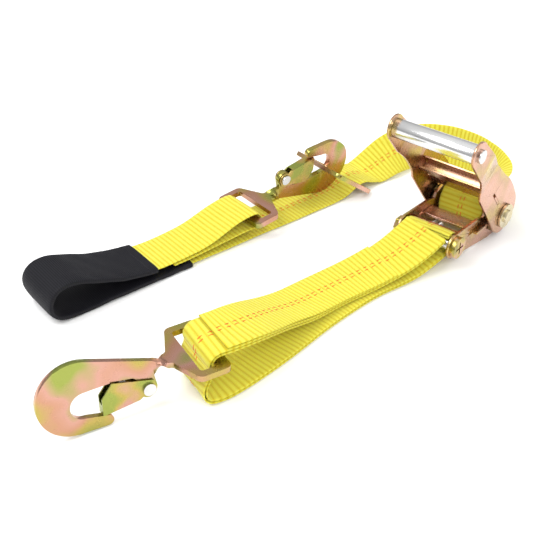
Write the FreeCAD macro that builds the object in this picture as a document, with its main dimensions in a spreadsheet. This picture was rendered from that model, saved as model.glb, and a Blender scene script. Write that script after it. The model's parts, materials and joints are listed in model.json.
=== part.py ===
"""Ratchet tie-down: wide-handle ratchet, two twisted snap hooks, folded webbing, slider ring, wear sleeve.

+X runs along the ratchet from its webbing bolt towards its mandrel, +Y is to the left of that, +Z is up.
The origin is on the ground under the middle of the whole tie-down. Millimetres.
"""

import FreeCAD, Part
import math
import os

from FreeCAD import Placement, Rotation, Vector

doc = FreeCAD.newDocument("ratchet_tie_down")
X_AXIS, Y_AXIS, Z_AXIS = Vector(1, 0, 0), Vector(0, 1, 0), Vector(0, 0, 1)

# Moves every sub-part together, so that the origin is under the middle of the whole box.
CENTRE_SHIFT = Vector(-1.9, 10.2, 0)

# ---------------------------------------------------------------- driving dimensions

DIMENSIONS = {
    "mandrel_x": (202.0, "mandrel axis from the origin"),
    "mandrel_y": (-112.0, "middle of the ratchet's width"),
    "mandrel_z": (25.0, "mandrel axis above the ground"),
    "bolt_reach": (84.0, "webbing bolt to mandrel"),
    "handle_lean": (40.0, "handle from upright, towards the bolt, in degrees"),
    "side_gap": (55.0, "clear width between the frame sides"),
    "side_thickness": (3.0, "frame side plate"),
    "wheel_thickness": (5.0, "ratchet wheel"),
    "wheel_radius": (20.0, "ratchet wheel over its teeth"),
    "wheel_root": (16.5, "ratchet wheel at the bottom of its teeth"),
    "wheel_teeth": (14.0, "teeth on each wheel"),
    "handle_gap": (73.6, "clear width between the handle sides at the mandrel"),
    "handle_thickness": (2.6, "handle side plate"),
    "handle_flare": (7.0, "how far each handle side steps out to the grip"),
    "grip_reach": (140.0, "mandrel to grip"),
    "grip_radius": (9.5, "grip tube"),
    "mandrel_radius": (9.0, "mandrel"),
    "mandrel_slot": (5.0, "slot between the mandrel halves"),
    "running_clearance": (0.06, "radial clearance of the turning fits"),
    "bolt_radius": (5.0, "webbing bolt"),
    "sleeve_radius": (7.0, "spacer tube on the webbing bolt"),
    "pawl_thickness": (2.6, "lock pawl and drive pawl"),
    "webbing_width": (50.0, "two inch webbing"),
    "webbing_ply": (2.8, "one layer of webbing"),
    "roll_radius": (23.5, "webbing wound on the mandrel"),
    "hook_thickness": (5.5, "snap hook plate"),
    "hook_lean": (8.0, "blade twist past a quarter turn, in degrees"),
    "cheek_thickness": (1.4, "each cheek of a hook's keeper"),
    "rivet_radius": (3.2, "keeper rivet shank"),
    "ring_thickness": (5.0, "slider ring"),
    "sleeve_wall": (1.2, "wall of the black wear sleeve"),
    "sleeve_width": (56.0, "flat width of the wear sleeve"),
}

sheet = doc.addObject("Spreadsheet::Sheet", "Dimensions")
for row_number, (alias, (value, meaning)) in enumerate(DIMENSIONS.items(), start=1):
    sheet.set(f"A{row_number}", meaning)
    sheet.set(f"B{row_number}", str(value))
    sheet.setAlias(f"B{row_number}", alias)
doc.recompute()


def size(alias):
    return float(sheet.get(alias))


nodes = {}


def node(label, piece):
    """Marks a document object as the finished sub-part of that name."""
    piece.Label = label
    nodes[label] = piece
    return piece


def bind(piece, **expressions):
    for prop, expression in expressions.items():
        for alias in DIMENSIONS:
            expression = expression.replace(f"<{alias}>", f"Dimensions.{alias}")
        piece.setExpression(prop, expression)
    return piece


# ---------------------------------------------------------------- outlines and plain solids

def outline(start, *steps):
    """Closed outline: a step (x, y) is a straight edge, a step (middle, end) is an arc through middle."""
    edges, here = [], Vector(*start, 0)
    for step in steps + (start,):
        if isinstance(step[0], tuple):
            middle, end = Vector(*step[0], 0), Vector(*step[1], 0)
            edges.append(Part.Arc(here, middle, end))
        else:
            end = Vector(*step, 0)
            if here.distanceToPoint(end) < 1e-6:
                continue
            edges.append(Part.LineSegment(here, end))
        here = end
    return edges


def round_hole(x, y, radius):
    return [Part.Circle(Vector(x, y, 0), Z_AXIS, radius)]


def rounded_slot(x_low, x_high, y_low, y_high, corner):
    """Rectangle with rounded corners, as an outline."""
    cut = corner * (1 - math.sqrt(0.5))
    return outline(
        (x_low + corner, y_low),
        (x_high - corner, y_low),
        ((x_high - cut, y_low + cut), (x_high, y_low + corner)),
        (x_high, y_high - corner),
        ((x_high - cut, y_high - cut), (x_high - corner, y_high)),
        (x_low + corner, y_high),
        ((x_low + cut, y_high - cut), (x_low, y_high - corner)),
        (x_low, y_low + corner),
        ((x_low + cut, y_low + cut), (x_low + corner, y_low)),
    )


def plate(name, edges, thickness, placement):
    """A flat stamped plate: a body with one sketch and one pad, its thickness bound to the sheet."""
    body = doc.addObject("PartDesign::Body", f"{name}_body")
    sketch = body.newObject("Sketcher::SketchObject", f"{name}_sketch")
    plane = [f for f in body.Origin.OriginFeatures if f.Role == "XY_Plane"][0]
    sketch.AttachmentSupport = [(plane, "")]
    sketch.MapMode = "FlatFace"
    sketch.addGeometry(edges, False)
    pad = body.newObject("PartDesign::Pad", f"{name}_pad")
    pad.Profile = sketch
    bind(pad, Length=thickness)
    body.Placement = placement
    return body


def extrusion(name, edges, length, placement, symmetric=False):
    """A profile pushed along its own normal, its length bound to the sheet."""
    sketch = doc.addObject("Sketcher::SketchObject", f"{name}_sketch")
    sketch.addGeometry(edges, False)
    sketch.Placement = placement
    pushed = doc.addObject("Part::Extrusion", f"{name}_extrusion")
    pushed.Base = sketch
    pushed.DirMode = "Normal"
    pushed.Solid = True
    pushed.Symmetric = symmetric
    bind(pushed, LengthFwd=length)
    return pushed


def cylinder(name, radius, height, placement):
    rod = doc.addObject("Part::Cylinder", name)
    bind(rod, Radius=radius, Height=height)
    rod.Placement = placement
    return rod


def box(name, length, width, height, placement):
    block = doc.addObject("Part::Box", name)
    bind(block, Length=length, Width=width, Height=height)
    block.Placement = placement
    return block


def fuse(name, *pieces):
    joined = doc.addObject("Part::MultiFuse", name)
    joined.Shapes = list(pieces)
    return joined


def cut(name, base, tool):
    left = doc.addObject("Part::Cut", name)
    left.Base = base
    left.Tool = tool
    return left


def common(name, first, second):
    kept = doc.addObject("Part::MultiCommon", name)
    kept.Shapes = [first, second]
    return kept


# Sketch frames: upright faces -Y, sideways faces +X, ALONG_Y lays a cylinder along +Y.
UPRIGHT = Rotation(X_AXIS, 90)
SIDEWAYS = Rotation(Y_AXIS, Z_AXIS, X_AXIS, "ZXY")
ALONG_Y = Rotation(X_AXIS, -90)
ALONG_X = Rotation(Y_AXIS, 90)

mandrel = Vector(size("mandrel_x"), size("mandrel_y"), size("mandrel_z"))
ratchet = Placement(mandrel, Rotation())
handle = Placement(mandrel, Rotation(Y_AXIS, -size("handle_lean")))
half_gap = size("side_gap") / 2
half_handle = size("handle_gap") / 2
reach = size("bolt_reach")
mandrel_hole = size("mandrel_radius") + size("running_clearance")
SIDES = {"right": -1, "left": 1}

# ---------------------------------------------------------------- ratchet frame

PAWL_SLOT = (-57.0, -30.0)
FRAME_NOSE = 13.0
FRAME_HUB = 17.0


def frame_side_edges():
    """Side plate: round nose at the bolt, notch for the folded handle's pawl, hub at the mandrel."""
    slot_half = size("pawl_thickness") / 2 + 0.3
    return (
        outline(
            (-reach, FRAME_NOSE),
            ((-reach - FRAME_NOSE, 0), (-reach, -FRAME_NOSE)),
            (-46, -19),
            (-12, -25),
            (8, -25),
            ((18.5, -18), (22, -6)),
            ((19.5, 10), (6, FRAME_HUB)),
            (-8, FRAME_HUB),
            (-24.2, 12.9),
            (-26.8, 7.0),
            (-34, 9.2),
            (-40, 10.6),
        )
        + round_hole(0, 0, mandrel_hole)
        + round_hole(-reach, 0, size("bolt_radius"))
        + rounded_slot(PAWL_SLOT[0], PAWL_SLOT[1], -slot_half, slot_half, 1.0)
    )


for side, sign in SIDES.items():
    outer_y = half_gap + size("side_thickness") if sign > 0 else -half_gap
    node(
        f"frame_side_{side}",
        plate(
            f"frame_{side}",
            frame_side_edges(),
            "<side_thickness>",
            ratchet * Placement(Vector(0, outer_y, 0), UPRIGHT),
        ),
    )

CROSSBAR_X = -68.0
node(
    "frame_crossbar",
    box("frame_bar", "3", "<side_gap>", "9",
        ratchet * Placement(Vector(CROSSBAR_X, -half_gap, -4.5), Rotation())),
)

# The bolt that holds the fixed webbing, its spacer tube and its nut.
HEAD_HEIGHT = 5.6
NUT_HEIGHT = 5.4
bolt_span = half_gap + size("side_thickness")
shank = cylinder(
    "bolt_shank",
    "<bolt_radius>",
    f"<side_gap> + 2 * <side_thickness> + {NUT_HEIGHT + 0.3}",
    ratchet * Placement(Vector(-reach, -bolt_span, 0), ALONG_Y),
)
head = cylinder(
    "bolt_head", "<bolt_radius> + 6", str(HEAD_HEIGHT),
    ratchet * Placement(Vector(-reach, -bolt_span - HEAD_HEIGHT, 0), ALONG_Y),
)
CROSS_LENGTH, CROSS_WIDTH = 13.0, 2.0


def cross_arm(name, length, height):
    """One arm of the cross recess in the bolt's head."""
    corner = Vector(-reach - length / 2, -bolt_span - HEAD_HEIGHT, -height / 2)
    return box(name, str(length), "2.4", str(height), ratchet * Placement(corner, Rotation()))


cross_cut = fuse(
    "bolt_head_cross",
    cross_arm("bolt_cross_a", CROSS_LENGTH, CROSS_WIDTH),
    cross_arm("bolt_cross_b", CROSS_WIDTH, CROSS_LENGTH),
)
node("webbing_bolt", cut("webbing_bolt_cut", fuse("webbing_bolt_blank", shank, head), cross_cut))

NUT_CORNER = 9.2
nut_angles = [math.radians(60 * corner) for corner in range(6)]
nut_edges = outline(*[(NUT_CORNER * math.cos(angle), NUT_CORNER * math.sin(angle)) for angle in nut_angles])
node(
    "webbing_bolt_nut",
    plate(
        "bolt_nut", nut_edges + round_hole(0, 0, size("bolt_radius")), str(NUT_HEIGHT),
        ratchet * Placement(Vector(-reach, bolt_span + NUT_HEIGHT, 0), UPRIGHT),
    ),
)
node(
    "webbing_bolt_spacer",
    cut(
        "bolt_spacer",
        cylinder("spacer_outside", "<sleeve_radius>", "<side_gap>",
                 ratchet * Placement(Vector(-reach, -half_gap, 0), ALONG_Y)),
        cylinder("spacer_bore", "<bolt_radius>", "<side_gap>",
                 ratchet * Placement(Vector(-reach, -half_gap, 0), ALONG_Y)),
    ),
)

# ---------------------------------------------------------------- pawls

frame_outside = half_gap + size("side_thickness")
FINGER = (frame_outside + 0.8, frame_outside + size("wheel_thickness"))
PAWL_TIP = size("wheel_radius") + 0.5


def bridge_edges(low, high, half_width, finger_tip):
    """Flat bridge between two fingers that point down at the wheels; x across, y away from the mandrel."""
    inner, outer = FINGER
    return outline(
        (-half_width, high),
        (-half_width, low),
        (-outer, low),
        (-outer, finger_tip),
        (-inner, finger_tip),
        (-inner, low),
        (inner, low),
        (inner, finger_tip),
        (outer, finger_tip),
        (outer, low),
        (half_width, low),
        (half_width, high),
    )


LOCK_PAWL = (32.0, 50.0)
LOCK_HALF_WIDTH = 36.2
lock_edges = bridge_edges(LOCK_PAWL[0], LOCK_PAWL[1], LOCK_HALF_WIDTH, PAWL_TIP)
lock_turn = Rotation(Y_AXIS, X_AXIS * -1, Z_AXIS, "ZXY")
lock_frame = Placement(Vector(0, 0, -size("pawl_thickness") / 2), lock_turn)
node("lock_pawl", plate("lock_pawl", lock_edges, "<pawl_thickness>", ratchet * lock_frame))


def coil_tube(name, outer, inner, length, placement):
    """Envelope of a coil spring at its compressed length."""
    return cut(
        name,
        cylinder(f"{name}_outside", str(outer), str(length), placement),
        cylinder(f"{name}_inside", str(inner), str(length), placement),
    )


LOCK_SPRING = 7.0
node(
    "lock_pawl_spring",
    coil_tube("lock_spring", 3.4, 2.4, LOCK_SPRING,
              ratchet * Placement(Vector(CROSSBAR_X + 3, 0, 0), ALONG_X)),
)

# ---------------------------------------------------------------- mandrel

wheel_centre = half_gap + size("side_thickness") + 0.3
mandrel_half_length = half_handle + size("handle_thickness") + 0.4


def ratchet_wheel_edges():
    """Saw teeth: each tooth rises slowly to its tip and falls back steeply."""
    teeth = int(size("wheel_teeth"))
    root, tip = size("wheel_root"), size("wheel_radius")
    points = []
    for index in range(teeth):
        start = 2 * math.pi * index / teeth
        for radius, share in ((root, 0.0), (tip, 0.72), (tip, 0.9)):
            angle = start + share * 2 * math.pi / teeth
            points.append((radius * math.cos(angle), radius * math.sin(angle)))
    return outline(*points)


for side, sign in SIDES.items():
    outer_y = wheel_centre + size("wheel_thickness") if sign > 0 else -wheel_centre
    node(
        f"ratchet_wheel_{side}",
        plate(
            f"wheel_{side}",
            ratchet_wheel_edges() + round_hole(0, 0, size("mandrel_radius")),
            "<wheel_thickness>",
            ratchet * Placement(Vector(0, outer_y, 0), UPRIGHT),
        ),
    )
    flat = size("mandrel_slot") / 2
    chord = math.sqrt(size("mandrel_radius") ** 2 - flat**2)
    half_moon = outline((-chord, sign * flat), ((0, sign * size("mandrel_radius")), (chord, sign * flat)))
    node(
        f"mandrel_half_{'upper' if sign > 0 else 'lower'}",
        plate(
            f"mandrel_{side}", half_moon, f"2 * {mandrel_half_length}",
            ratchet * Placement(Vector(0, mandrel_half_length, 0), UPRIGHT),
        ),
    )
    cap_y = mandrel_half_length if sign > 0 else -mandrel_half_length - 3
    boss_y = mandrel_half_length + 3 if sign > 0 else -mandrel_half_length - 5.5
    node(
        f"mandrel_cap_{side}",
        fuse(
            f"cap_{side}",
            cylinder(f"cap_disc_{side}", "<mandrel_radius> + 4", "3",
                     ratchet * Placement(Vector(0, cap_y, 0), ALONG_Y)),
            cylinder(f"cap_boss_{side}", "<mandrel_radius> - 2", "2.5",
                     ratchet * Placement(Vector(0, boss_y, 0), ALONG_Y)),
        ),
    )

roll_start = Placement(Vector(0, -size("webbing_width") / 2, 0), ALONG_Y)
node(
    "webbing_roll",
    cut(
        "roll",
        cylinder("roll_outside", "<roll_radius>", "<webbing_width>", ratchet * roll_start),
        cylinder("roll_inside", "<mandrel_radius>", "<webbing_width>", ratchet * roll_start),
    ),
)

node(
    "mandrel_webbing_core",
    box("webbing_core", "2 * <mandrel_radius> - 1", "<webbing_width>", "<mandrel_slot> - 0.4",
        ratchet * Placement(
            Vector(0.5 - size("mandrel_radius"), -size("webbing_width") / 2, 0.2 - size("mandrel_slot") / 2),
            Rotation(),
        )),
)

# ---------------------------------------------------------------- handle

FLARE_LOW, FLARE_HIGH = 78.0, 112.0
HANDLE_TOP = size("grip_reach") + 14.0
PAWL_TRAVEL = 6.0
DRIVE_PAWL = (28.5, 44.0)
FINGER_BAR = 62.0


def handle_face_edges():
    """Handle side seen from the right: broad round foot at the mandrel, waist, round top at the grip."""
    grip = size("grip_reach")
    slot_half = size("pawl_thickness") / 2 + 0.3
    return (
        outline(
            (-21, 6),
            ((-15, -12), (4, -19)),
            ((19, -14), (27, 4)),
            ((28.5, 24), (25, 46)),
            (13, grip),
            ((0, HANDLE_TOP), (-13, grip)),
            (-13, 112),
            ((-12, 92), (-19, 72)),
        )
        + round_hole(0, 0, mandrel_hole)
        + round_hole(0, grip, size("bolt_radius") - 1)
        + rounded_slot(-slot_half, slot_half, DRIVE_PAWL[0] - 1, DRIVE_PAWL[1] + PAWL_TRAVEL + 1, 1.0)
    )


def bent_strip_edges(sign):
    """Thickness of a handle side seen end on: upright, stepped outwards, upright again."""
    inside, outside = half_handle, half_handle + size("handle_thickness")
    step = size("handle_flare")
    low, high = -30.0, HANDLE_TOP + 10
    points = [
        (inside, low), (outside, low), (outside, FLARE_LOW), (outside + step, FLARE_HIGH),
        (outside + step, high), (inside + step, high), (inside + step, FLARE_HIGH), (inside, FLARE_LOW),
    ]
    return outline(*[(sign * across, along) for across, along in points])


for side, sign in SIDES.items():
    strip = extrusion(f"handle_strip_{side}", bent_strip_edges(sign), "90",
                      handle * Placement(Vector(-45, 0, 0), SIDEWAYS))
    face_y = 75.0 if sign > 0 else -25.0
    face = extrusion(f"handle_face_{side}", handle_face_edges(), "50",
                     handle * Placement(Vector(0, face_y, 0), UPRIGHT))
    node(f"handle_side_{side}", common(f"handle_{side}", strip, face))

grip_half = half_handle + size("handle_flare")
grip_place = handle * Placement(Vector(0, -grip_half, size("grip_reach")), ALONG_Y)
grip_length = "<handle_gap> + 2 * <handle_flare>"
node(
    "handle_grip",
    cut(
        "grip",
        cylinder("grip_outside", "<grip_radius>", grip_length, grip_place),
        cylinder("grip_bore", "<bolt_radius> - 1", grip_length, grip_place),
    ),
)
rivet_end = grip_half + size("handle_thickness")
rivet_pieces = [
    cylinder("grip_rod_shank", "<bolt_radius> - 1", f"2 * {rivet_end}",
             handle * Placement(Vector(0, -rivet_end, size("grip_reach")), ALONG_Y))
]
for side, sign in SIDES.items():
    head_y = rivet_end if sign > 0 else -rivet_end - 2.5
    rivet_pieces.append(
        cylinder(f"grip_rod_head_{side}", "<bolt_radius> + 1.5", "2.5",
                 handle * Placement(Vector(0, head_y, size("grip_reach")), ALONG_Y))
    )
node("grip_rod", fuse("grip_rod_fuse", *rivet_pieces))

# Drive pawl with its finger bar, and the crossbar and spring that press it onto the wheels.
PAWL_HALF_WIDTH = 39.5
drive_frame = Placement(Vector(-size("pawl_thickness") / 2, 0, 0), SIDEWAYS)
pawl_bridge = extrusion(
    "drive_bridge", bridge_edges(DRIVE_PAWL[0], DRIVE_PAWL[1], PAWL_HALF_WIDTH, PAWL_TIP), "<pawl_thickness>",
    handle * drive_frame,
)
pawl_web = box("drive_web", "<pawl_thickness>", "40", f"{FINGER_BAR - DRIVE_PAWL[1]}",
               handle * Placement(Vector(-size("pawl_thickness") / 2, -20, DRIVE_PAWL[1]), Rotation()))
bar_half = half_handle - 0.6
BAR_DEPTH, BAR_HEIGHT, BAR_WALL = 7.0, 12.0, 2.0
bar_edges = outline(
    (-BAR_DEPTH, 0), (BAR_DEPTH, 0), (BAR_DEPTH, BAR_HEIGHT), (BAR_DEPTH - BAR_WALL, BAR_HEIGHT),
    (BAR_DEPTH - BAR_WALL, BAR_WALL), (BAR_WALL - BAR_DEPTH, BAR_WALL), (BAR_WALL - BAR_DEPTH, BAR_HEIGHT),
    (-BAR_DEPTH, BAR_HEIGHT),
)
finger_bar = extrusion("finger_bar", bar_edges, f"2 * {bar_half}",
                       handle * Placement(Vector(0, bar_half, FINGER_BAR), UPRIGHT))
lug = box("drive_lug", "8", "8", "3",
          handle * Placement(Vector(size("pawl_thickness") / 2, -4, 34), Rotation()))
node("drive_pawl", fuse("drive_pawl_fuse", pawl_bridge, pawl_web, finger_bar, lug))
CROSSROD_RADIUS = 3.0
CROSSROD_ALONG = 54.0
rod_x = size("pawl_thickness") / 2 + CROSSROD_RADIUS + 0.6
node(
    "handle_crossrod",
    cylinder("handle_rod", str(CROSSROD_RADIUS), "<handle_gap>",
             handle * Placement(Vector(rod_x, -half_handle, CROSSROD_ALONG), ALONG_Y)),
)
DRIVE_SPRING = 7.0
node(
    "drive_pawl_spring",
    coil_tube("drive_spring", 2.6, 1.7, DRIVE_SPRING,
              handle * Placement(Vector(rod_x, 0, CROSSROD_ALONG - CROSSROD_RADIUS - DRIVE_SPRING),
                                 Rotation())),
)

# ---------------------------------------------------------------- snap hooks

NECK_START, NECK_END = 38.0, 50.0
NECK_WIDTH = 13.0
NECK_STEPS = 7
BAR_HALF = 5.0
KEEPER_PIVOT = (56.5, -17.0)
CHEEK_GAP = 0.35


def slot_plate_edges():
    """Plate that the webbing loops through; its rear bar is centred on the hook's own origin."""
    half = NECK_WIDTH / 2
    front = [
        (18, -35), ((23, -33.5), (25.5, -29.5)), (34, -9.5), ((35.6, -7.2), (NECK_START, -half)),
        (NECK_START, half), ((35.6, 7.2), (34, 9.5)), (25.5, 29.5), ((23, 33.5), (18, 35)), (0, 35),
        ((-4, 33), (-BAR_HALF, 29)), (-BAR_HALF, -29),
    ]
    return outline((0, -35), *front, ((-4, -33), (0, -35))) + rounded_slot(BAR_HALF, 20, -28, 28, 3.0)


def blade_edges():
    """Blade seen from its left: x along the hook, y away from the nose."""
    return (
        outline(
            (NECK_END, NECK_WIDTH / 2),
            (103, 26.4),
            ((147, -4), (114.5, -36.5)),
            (93, -37.6),
            ((88.4, -33), (93, -28.4)),
            (109.4, -24),
            ((121.4, -12), (109.4, 0)),
            (83, 0),
            (68, -3),
            ((64.5, -7), (64, -14)),
            ((56.5, -25), (48.8, -15)),
            (NECK_END, -NECK_WIDTH / 2),
        )
        + round_hole(*KEEPER_PIVOT, size("rivet_radius"))
    )


def cheek_edges():
    """One cheek of the keeper in the blade's own plane."""
    return outline(
        (51.6, -10), (85.7, 0), (96, -11.6), (97, -26.8), (65.5, -24.2), (62, -22.2),
        ((56, -24.4), (49.6, -17)),
    ) + round_hole(*KEEPER_PIVOT, size("rivet_radius") + size("running_clearance"))


def keeper_web_edges():
    """Edge of the keeper that closes the mouth between the two cheeks."""
    return outline((67, -24.3), (97, -26.8), (96.4, -17), (95, -17), (95.4, -25.1), (67, -22.7))


def twisted_neck(name, placement):
    """Short strip that turns from the slot plate's plane into the blade's plane."""
    turn = 90 + size("hook_lean")
    half_width, half_thickness = NECK_WIDTH / 2, size("hook_thickness") / 2
    sections = []
    for step in range(NECK_STEPS + 1):
        share = step / NECK_STEPS
        spin = Rotation(X_AXIS, turn * share)
        at = Vector(NECK_START + share * (NECK_END - NECK_START), 0, 0)
        corners = [
            at + spin.multVec(Vector(0, a * half_width, b * half_thickness))
            for a, b in ((-1, -1), (1, -1), (1, 1), (-1, 1))
        ]
        sections.append(Part.makePolygon(corners + corners[:1]))
    neck = doc.addObject("Part::Feature", name)
    neck.Shape = Part.makeLoft(sections, True, True)
    neck.Placement = placement
    return neck


def snap_hook(prefix, place):
    """Hook, keeper, rivet and keeper spring; place puts the hook's rear bar and turns the hook."""
    blade = place * Placement(Vector(), Rotation(X_AXIS, 90 + size("hook_lean")))
    blade_half = size("hook_thickness") / 2
    plate_part = extrusion(f"{prefix}_plate", slot_plate_edges(), "<hook_thickness>", place, True)
    blade_part = extrusion(f"{prefix}_blade", blade_edges(), "<hook_thickness>", blade, True)
    neck = twisted_neck(f"{prefix}_neck", place)
    node(f"{prefix}_hook", fuse(f"{prefix}_hook_fuse", plate_part, neck, blade_part))

    cheek_low = blade_half + CHEEK_GAP
    cheeks = [
        extrusion(f"{prefix}_cheek_{index}", cheek_edges(), "<cheek_thickness>",
                  blade * Placement(Vector(0, 0, offset), Rotation()))
        for index, offset in enumerate((cheek_low, -cheek_low - size("cheek_thickness")))
    ]
    web = extrusion(f"{prefix}_web", keeper_web_edges(), f"2 * {cheek_low}", blade, True)
    node(f"{prefix}_keeper", fuse(f"{prefix}_keeper_fuse", web, *cheeks))

    rivet_half = cheek_low + size("cheek_thickness")
    x, y = KEEPER_PIVOT
    shank_place = blade * Placement(Vector(x, y, -rivet_half), Rotation())
    rivet = [cylinder(f"{prefix}_rivet_shank", "<rivet_radius>", f"2 * {rivet_half}", shank_place)]
    for index, offset in enumerate((rivet_half + 0.1, -rivet_half - 2.1)):
        rivet.append(
            cylinder(f"{prefix}_rivet_head_{index}", "<rivet_radius> + 2.2", "2",
                     blade * Placement(Vector(x, y, offset), Rotation()))
        )
    stretch = cylinder(f"{prefix}_rivet_core", "<rivet_radius> - 0.4", f"2 * {rivet_half} + 1",
                       blade * Placement(Vector(x, y, -rivet_half - 0.5), Rotation()))
    node(f"{prefix}_keeper_rivet", fuse(f"{prefix}_rivet", stretch, *rivet))

    spring = coil_tube(f"{prefix}_spring", 3.0, 1.8, size("hook_thickness") - 1.0,
                       blade * Placement(Vector(76, -6.0, 0.5 - blade_half), Rotation()))
    node(f"{prefix}_keeper_spring", spring)


def turned(azimuth, pitch=0.0, flipped=False):
    """Rotation that points a hook's x axis at that azimuth and rise, right way up or nose up."""
    turn = Rotation(Z_AXIS, azimuth) * Rotation(Y_AXIS, -pitch)
    return turn * Rotation(X_AXIS, 180) if flipped else turn


FRONT_BAR = Vector(-160, -71, 38)
FRONT_AZIMUTH = 160.0
REAR_BAR = Vector(37, 66, 21)
FOLD_X, FOLD_Y = -176.0, 109.0
REAR_AZIMUTH = math.degrees(math.atan2(REAR_BAR.y - FOLD_Y, REAR_BAR.x - FOLD_X))
REAR_PITCH = 5.8
snap_hook("front", Placement(FRONT_BAR, turned(FRONT_AZIMUTH)))
snap_hook("rear", Placement(REAR_BAR, turned(REAR_AZIMUTH, REAR_PITCH, flipped=True)))

# Slider ring: its front bar lies in the rear hook's throat, the webbing runs over its rear bar.
RING_BAR = 7.0
RING_LENGTH = 65.0
RING_WIDTH = 72.0
RING_SLOPE = 36.9
RING_FRONT_X, RING_FRONT_Z = 142.3, 40.0
ring_front_y = FOLD_Y + (RING_FRONT_X - FOLD_X) * math.tan(math.radians(REAR_AZIMUTH))
ring_place = Placement(
    Vector(RING_FRONT_X, ring_front_y, RING_FRONT_Z),
    Rotation(Z_AXIS, REAR_AZIMUTH) * Rotation(Y_AXIS, RING_SLOPE),
)
ring_edges = rounded_slot(-RING_BAR / 2, RING_LENGTH - RING_BAR / 2, -RING_WIDTH / 2, RING_WIDTH / 2, 5.0)
ring_window = rounded_slot(
    RING_BAR / 2, RING_LENGTH - RING_BAR * 1.5, RING_BAR - RING_WIDTH / 2, RING_WIDTH / 2 - RING_BAR, 2.0
)
node(
    "slider_ring",
    plate(
        "ring", ring_edges + ring_window, "<ring_thickness>",
        ring_place * Placement(Vector(0, 0, -size("ring_thickness") / 2), Rotation()),
    ),
)

# ---------------------------------------------------------------- webbing

def sections_along(route, first, last, width, thickness, stations):
    """Cross-sections between two of the route's points; a point is x, y, z, azimuth and rise of the width."""
    places = [Vector(*point[:3]) for point in route]
    knots = [0.0]
    for here, there in zip(places, places[1:]):
        knots.append(knots[-1] + here.distanceToPoint(there))
    line = Part.BSplineCurve()
    line.interpolate(Points=places, Parameters=knots)
    sections = []
    for index in range(stations):
        position = knots[first] + (knots[last] - knots[first]) * index / (stations - 1)
        span = max(k for k in range(len(knots) - 1) if k == 0 or knots[k] <= position + 1e-9)
        share = min(1.0, max(0.0, (position - knots[span]) / (knots[span + 1] - knots[span])))
        azimuth, rise = [
            math.radians(route[span][k] + share * (route[span + 1][k] - route[span][k])) for k in (3, 4)
        ]
        tangent = line.tangent(position)[0]
        level = math.cos(rise)
        across = Vector(math.cos(azimuth) * level, math.sin(azimuth) * level, math.sin(rise))
        across = (across - tangent * across.dot(tangent)).normalize()
        lift = tangent.cross(across)
        at = line.value(position)
        corners = [
            at + across * (a * width / 2) + lift * (b * thickness / 2)
            for a, b in ((-1, -1), (1, -1), (1, 1), (-1, 1))
        ]
        sections.append(Part.makePolygon(corners + corners[:1]))
    return sections


def band(name, route, first, last, stations, thickness, width=None):
    """Solid band of webbing along one stretch of a smooth route."""
    piece = doc.addObject("Part::Feature", name)
    sections = sections_along(route, first, last, width or size("webbing_width"), thickness, stations)
    piece.Shape = Part.makeLoft(sections, True, True)
    return piece


WRAP_STEP = 22.5
LEAD_IN = 5.0


def wrap(centre, azimuth, radius, width_azimuth, start=90):
    """Route points half way round a bar, from start to its opposite, with a straight lead at both ends."""
    outward = Vector(math.cos(math.radians(azimuth)), math.sin(math.radians(azimuth)), 0)
    turn = -1 if start > 0 else 1
    steps = int(180 / WRAP_STEP)
    angles = [math.radians(start + turn * WRAP_STEP * step) for step in range(steps + 1)]
    points = [centre + outward * (radius * math.cos(a)) + Z_AXIS * (radius * math.sin(a)) for a in angles]
    points = [points[0] - outward * LEAD_IN, *points, points[-1] - outward * LEAD_IN]
    return [(at.x, at.y, at.z, width_azimuth, 0.0) for at in points]


ply = size("webbing_ply")
double = 2 * ply
FRONT_WRAP = 6.6 + ply
BOLT_WRAP = size("sleeve_radius") + 0.6 + ply
bolt_centre = mandrel + Vector(-reach, 0, 0)

# Fixed webbing: two plies over the front hook's bar, down through its slot and round the webbing bolt.
hook_wrap = wrap(FRONT_BAR, FRONT_AZIMUTH, FRONT_WRAP, FRONT_AZIMUTH + 90)[:7]
bolt_wrap = wrap(bolt_centre, 0, BOLT_WRAP, 270, start=-90)
upper_strand = [
    (80, -104.5, 22.5, 266, 0),
    (40, -90, 11.0, 259, 0),
    (-10, -78, 9.8, 262, 0),
    (-45, -75.5, 14.5, 266, 0),
    (-85, -75, 27.5, 264, 0),
    (-130, -77.5, 44, 254, 0),
]
lower_strand = [
    (-170, -67.6, 27, 250, 0),
    (-173.6, -67.3, 19.5, 250.5, 0),
    (-176, -68.5, 11.5, 251, 0),
    (-173.9, -70.9, 5.6, 251.5, 0),
    (-168.5, -73.5, 3.8, 252, 0),
    (-150, -78.5, 3.5, 256, 0),
    (-122, -81.5, 3.3, 261, 0),
    (-60, -83, 3.2, 266, 0),
    (-10, -85, 3.2, 262, 0),
    (40, -93, 3.2, 260, 0),
    (80, -105, 7, 266, 0),
]
RUN_ON = 4
FIXED_ROUTE = [
    *bolt_wrap[-RUN_ON:],
    *upper_strand,
    *hook_wrap,
    *lower_strand,
    *bolt_wrap,
    *upper_strand[:RUN_ON],
]
hook_start = RUN_ON + len(upper_strand)
hook_end = hook_start + len(hook_wrap) - 1
bolt_start = hook_end + len(lower_strand) + 1
bolt_end = len(FIXED_ROUTE) - 1 - RUN_ON
node("fixed_webbing_upper", band("fixed_upper", FIXED_ROUTE, RUN_ON - 1, hook_start, 41, double))
node("fixed_webbing_hook_loop", band("hook_loop", FIXED_ROUTE, hook_start, hook_end, 15, double))
node("fixed_webbing_lower", band("fixed_lower", FIXED_ROUTE, hook_end, bolt_start, 61, double))
node("fixed_webbing_bolt_loop", band("bolt_loop", FIXED_ROUTE, bolt_start, bolt_end, 19, double))

# Main webbing: one route from the rear hook's bar round the black fold, back under the hook and to the mandrel.
REAR_WRAP = 6.6 + ply / 2
FOLD_MIDDLE = 20.8
FOLD_RADIUS = 17.1


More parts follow.
